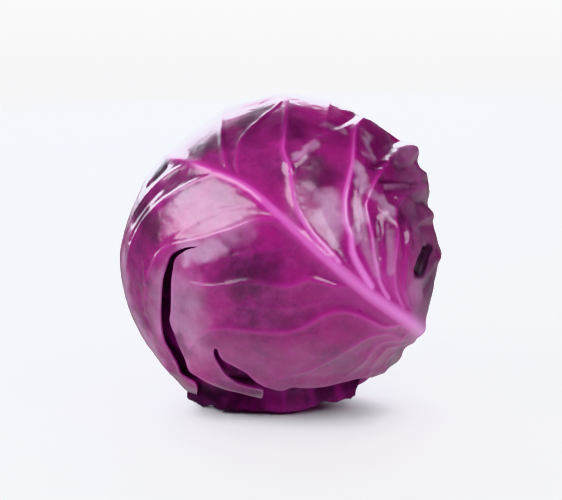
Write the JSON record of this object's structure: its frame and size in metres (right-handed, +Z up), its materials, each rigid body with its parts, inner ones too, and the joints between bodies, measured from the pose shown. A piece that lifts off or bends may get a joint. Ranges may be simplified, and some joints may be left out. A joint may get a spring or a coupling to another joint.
{
  "type": "cabbage head",
  "caption": "Round red cabbage head of layered wrapper leaves with raised veins and torn margins around a dense inner head, with a cut stem; it rests on a small flat spot.",
  "frame": {"origin": "centre of the bounds at the surface that the head rests on", "axes": "+Z up; -Y towards the viewer of the veined front leaf; +X to the viewer's right, the side of the cut stem"},
  "size_m": [0.1621, 0.1542, 0.1559],
  "materials": {
    "front_leaf": "waxy, semi-gloss",
    "under_leaf": "waxy, satin",
    "top_leaf": "waxy, semi-gloss",
    "rear_upper_leaf": "waxy, satin",
    "rear_lower_leaf": "waxy, satin",
    "inner_head": "satin",
    "stem": "matt, cut"
  },
  "bodies": {
    "root": {"front_leaf": "front_leaf", "under_leaf": "under_leaf", "top_leaf": "top_leaf", "rear_upper_leaf": "rear_upper_leaf", "rear_lower_leaf": "rear_lower_leaf", "inner_head": "inner_head", "stem": "stem"}
  },
  "joints": []
}
